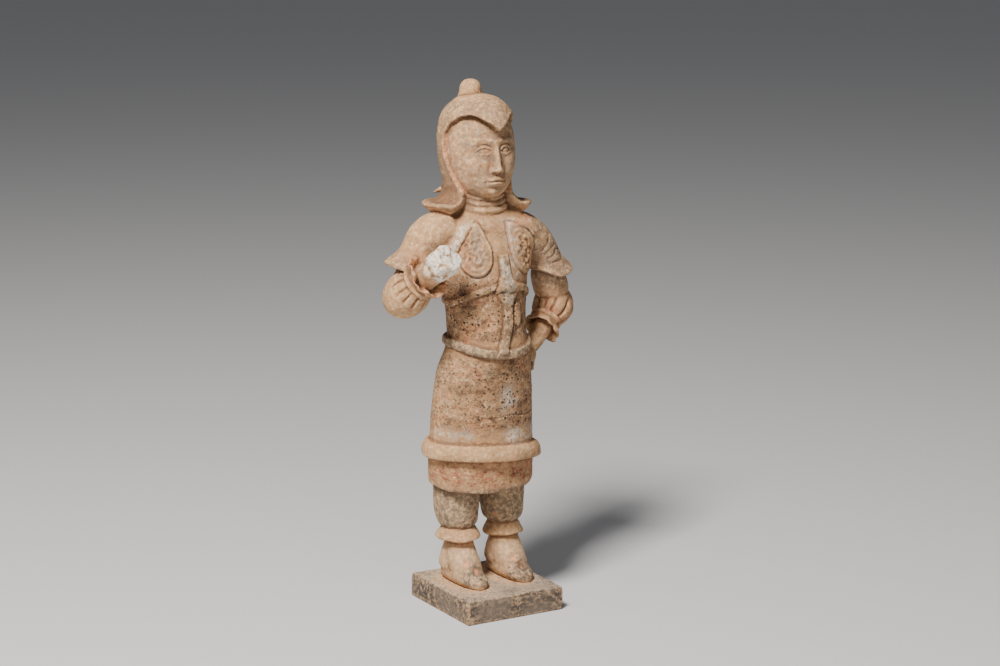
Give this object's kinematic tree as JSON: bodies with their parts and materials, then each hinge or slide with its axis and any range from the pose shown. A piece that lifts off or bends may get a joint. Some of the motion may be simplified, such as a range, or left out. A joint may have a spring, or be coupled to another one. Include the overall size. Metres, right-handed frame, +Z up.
{
  "type": "pottery guardian figure",
  "caption": "Standing pottery guardian in a hood, short capes, banded armour and long skirt on a square plinth; one hand on the hip, the raised forearm broken off at the wrist.",
  "frame": {"origin": "centre of the plinth's underside", "axes": "+Z up; the figure faces -Y, and its own left side is towards +X"},
  "size_m": [0.3123, 0.178, 0.7473],
  "materials": {
    "figure": "matt unglazed buff clay, weathered and dusty",
    "plinth": "matt unglazed clay, dark grey with tan wear"
  },
  "bodies": {
    "root": {"figure": "figure", "plinth": "plinth"}
  },
  "joints": []
}
